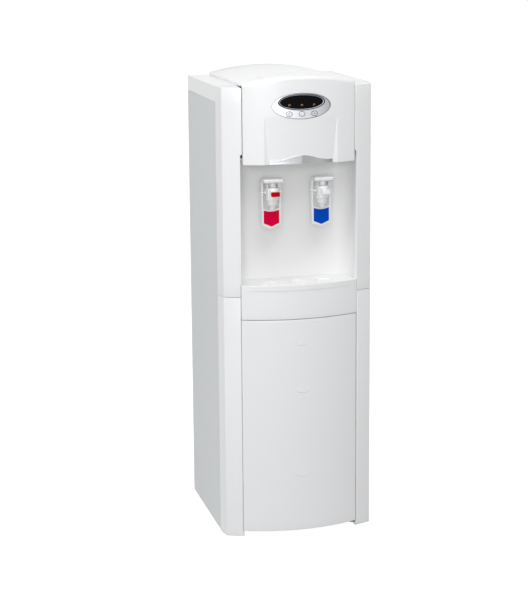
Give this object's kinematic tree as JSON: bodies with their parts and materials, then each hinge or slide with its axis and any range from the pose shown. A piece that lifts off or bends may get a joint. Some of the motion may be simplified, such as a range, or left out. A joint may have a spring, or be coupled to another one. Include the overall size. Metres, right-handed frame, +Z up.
{
  "type": "bottom load water cooler",
  "caption": "Floor-standing water cooler with a bottle bay behind a hinged lower door, a drip deck, hot and cold paddle taps, an oval display with push buttons and a domed lid.",
  "frame": {"origin": "on the floor under the middle of the bounding box", "axes": "+X to the viewer's right facing the front, +Y towards the back, +Z up"},
  "size_m": [0.374, 0.387, 1.108],
  "materials": {
    "gloss_white": "moulded, glossy white",
    "alcove_plastic": "moulded, satin, light cool grey-white",
    "grey_plastic": "moulded, satin grey",
    "painted_steel": "powder coated, satin grey-white",
    "zinc_sheet": "zinc plated sheet",
    "tank_steel": "stainless sheet",
    "pin_steel": "turned steel pins and bracket",
    "black_steel": "black enamel",
    "silver_plastic": "silver lacquered plastic",
    "blue_grey_plastic": "dark blue-grey, glossy",
    "black_window": "dark display window",
    "lamp_orange": "clear orange-red lamp",
    "red_plastic": "crimson plastic",
    "blue_plastic": "blue plastic",
    "tab_red": "red plastic",
    "red_switch": "red rocker",
    "green_switch": "green rocker",
    "black_plastic": "moulded, black",
    "probe_plastic": "food-grade white plastic",
    "foam": "expanded foam",
    "circuit_board": "green circuit board",
    "copper": "drawn copper tube",
    "magnet": "magnet in its case",
    "rubber": "black rubber",
    "hose": "silicone hose"
  },
  "bodies": {
    "cabinet": {"alcove_panel": "alcove_plastic", "apron": "gloss_white", "back_panel": "painted_steel", "base_plate": "zinc_sheet", "bottle_bay_liner": "grey_plastic", "bottle_tray": "grey_plastic", "cold_tank": "tank_steel", "cold_tank_jacket": "foam", "cold_tap_body": "gloss_white", "compressor": "black_steel", "compressor_mounts": "rubber", "condenser": "black_steel", "control_board": "circuit_board", "display_bezel": "silver_plastic", "display_ring": "blue_grey_plastic", "display_window": "black_window", "door_strike": "zinc_sheet", "drip_basin": "grey_plastic", "evaporator_coil": "copper", "head_cover": "gloss_white", "head_trim": "silver_plastic", "hinge_pins": "pin_steel", "hot_tank": "tank_steel", "hot_tank_jacket": "foam", "hot_tap_body": "gloss_white", "indicator_lamps": "lamp_orange", "mid_shelf": "zinc_sheet", "pillar_lower_left": "gloss_white", "pillar_lower_right": "gloss_white", "pillar_upper_left": "gloss_white", "pillar_upper_right": "gloss_white", "power_board": "circuit_board", "rear_feet": "rubber", "refrigerant_pipes": "copper", "side_panel_left": "painted_steel", "side_panel_right": "painted_steel", "suction_probe": "probe_plastic", "switch_plate": "black_plastic", "tank_shelf": "zinc_sheet", "tap_nuts": "black_plastic", "top_frame": "gloss_white", "top_lid": "gloss_white", "water_hoses": "hose", "water_pump": "black_plastic"},
    "door": {"door_skin": "gloss_white", "door_liner": "grey_plastic", "door_magnet": "magnet"},
    "drip_deck_body": {"drip_deck": "alcove_plastic"},
    "hot_lever": {"hot_paddle": "gloss_white", "hot_paddle_insert": "red_plastic"},
    "cold_lever": {"cold_paddle": "gloss_white", "cold_paddle_insert": "blue_plastic"},
    "hot_plunger": {"hot_tap_cap": "gloss_white"},
    "cold_plunger": {"cold_tap_cap": "gloss_white"},
    "hot_tab": {"hot_safety_tab": "tab_red"},
    "left_button": {"button_left": "gloss_white"},
    "centre_button": {"button_centre": "gloss_white"},
    "right_button": {"button_right": "gloss_white"},
    "hot_switch": {"hot_rocker": "red_switch"},
    "cold_switch": {"cold_rocker": "green_switch"}
  },
  "joints": [
    {"name": "door_hinge", "type": "hinge", "parent": "cabinet", "child": "door", "pos_m": [0.136, -0.1642, 0.27], "axis": [0, 0, 1], "range_deg": [0, 110]},
    {"name": "deck_lift", "type": "slide", "parent": "cabinet", "child": "drip_deck_body", "axis": [0, 0, 1], "range_m": [0, 0.04]},
    {"name": "hot_lever_hinge", "type": "hinge", "parent": "cabinet", "child": "hot_lever", "pos_m": [-0.061, -0.1385, 0.8327], "axis": [1, 0, 0], "range_deg": [0, 12], "stiffness_Nm_per_rad": 0.6, "springref_deg": -8.59},
    {"name": "hot_plunger_lift", "type": "slide", "parent": "cabinet", "child": "hot_plunger", "axis": [0, 0, 1], "range_m": [0, 0.0028]},
    {"name": "cold_lever_hinge", "type": "hinge", "parent": "cabinet", "child": "cold_lever", "pos_m": [0.061, -0.1385, 0.8327], "axis": [1, 0, 0], "range_deg": [0, 12], "stiffness_Nm_per_rad": 0.6, "springref_deg": -8.59},
    {"name": "cold_plunger_lift", "type": "slide", "parent": "cabinet", "child": "cold_plunger", "axis": [0, 0, 1], "range_m": [0, 0.0028]},
    {"name": "hot_tab_push", "type": "slide", "parent": "cabinet", "child": "hot_tab", "axis": [0, 1, 0], "range_m": [0, 0.0025], "stiffness_N_per_m": 300, "springref_m": -0.004},
    {"name": "left_button_push", "type": "slide", "parent": "cabinet", "child": "left_button", "axis": [0, 1, 0], "range_m": [0, 0.0012], "stiffness_N_per_m": 400, "springref_m": -0.002},
    {"name": "centre_button_push", "type": "slide", "parent": "cabinet", "child": "centre_button", "axis": [0, 1, 0], "range_m": [0, 0.0012], "stiffness_N_per_m": 400, "springref_m": -0.002},
    {"name": "right_button_push", "type": "slide", "parent": "cabinet", "child": "right_button", "axis": [0, 1, 0], "range_m": [0, 0.0012], "stiffness_N_per_m": 400, "springref_m": -0.002},
    {"name": "hot_switch_rock", "type": "hinge", "parent": "cabinet", "child": "hot_switch", "pos_m": [0.091, 0.1573, 0.604], "axis": [1, 0, 0], "range_deg": [-14, 0]},
    {"name": "cold_switch_rock", "type": "hinge", "parent": "cabinet", "child": "cold_switch", "pos_m": [0.121, 0.1573, 0.604], "axis": [1, 0, 0], "range_deg": [-14, 0]}
  ],
  "couplings": [
    {"joint": "hot_plunger_lift", "follows": "hot_lever_hinge", "m_per_rad": 0.01337},
    {"joint": "cold_plunger_lift", "follows": "cold_lever_hinge", "m_per_rad": 0.01337}
  ]
}
